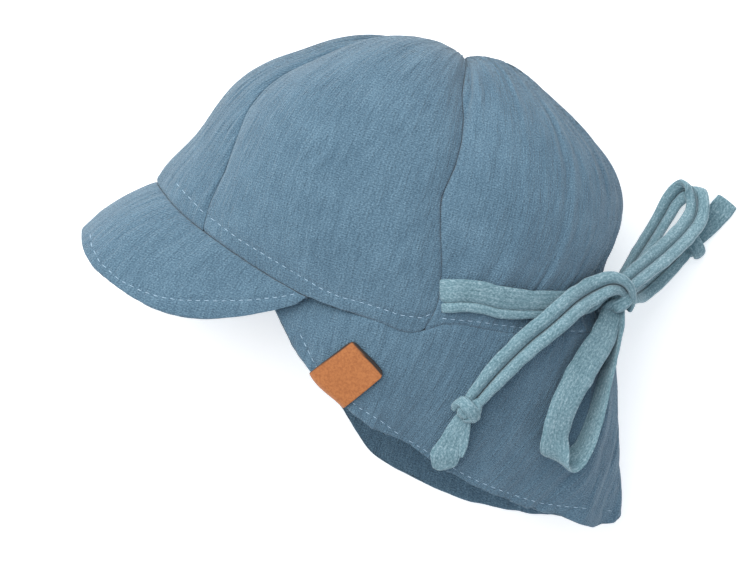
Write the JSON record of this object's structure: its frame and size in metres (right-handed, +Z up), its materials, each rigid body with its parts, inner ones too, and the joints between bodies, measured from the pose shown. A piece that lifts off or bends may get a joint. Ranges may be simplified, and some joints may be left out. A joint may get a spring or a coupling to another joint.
{
  "type": "sun hat",
  "caption": "Child's soft sun cap of double gauze with a panelled crown, a peak, a neck flap and ties knotted in a bow, lying on its side.",
  "frame": {"origin": "on the flat patch of the right side panel that lies on the table, below the middle of the crown", "axes": "+X from the peak to the back of the hat, +Y to the top of the crown, +Z up off the table, which is the wearer's left side"},
  "size_m": [0.2617, 0.1821, 0.0899],
  "materials": {
    "blue_gauze": "matt",
    "blue_green_jersey": "matt",
    "tan_leather": "satin"
  },
  "bodies": {
    "root": {"front_panel": "blue_gauze", "left_side_panel": "blue_gauze", "left_back_panel": "blue_gauze", "right_back_panel": "blue_gauze", "right_side_panel": "blue_gauze", "peak": "blue_gauze", "neck_flap": "blue_gauze", "left_tie_band": "blue_green_jersey", "right_tie_band": "blue_green_jersey", "bow_knot": "blue_green_jersey", "lower_loop": "blue_green_jersey", "left_tail": "blue_green_jersey", "left_end_knot": "blue_green_jersey", "left_tip": "blue_green_jersey", "upper_loop": "blue_green_jersey", "right_tail": "blue_green_jersey", "right_end_knot": "blue_green_jersey", "right_tip": "blue_green_jersey", "hem_label": "tan_leather"}
  },
  "joints": []
}
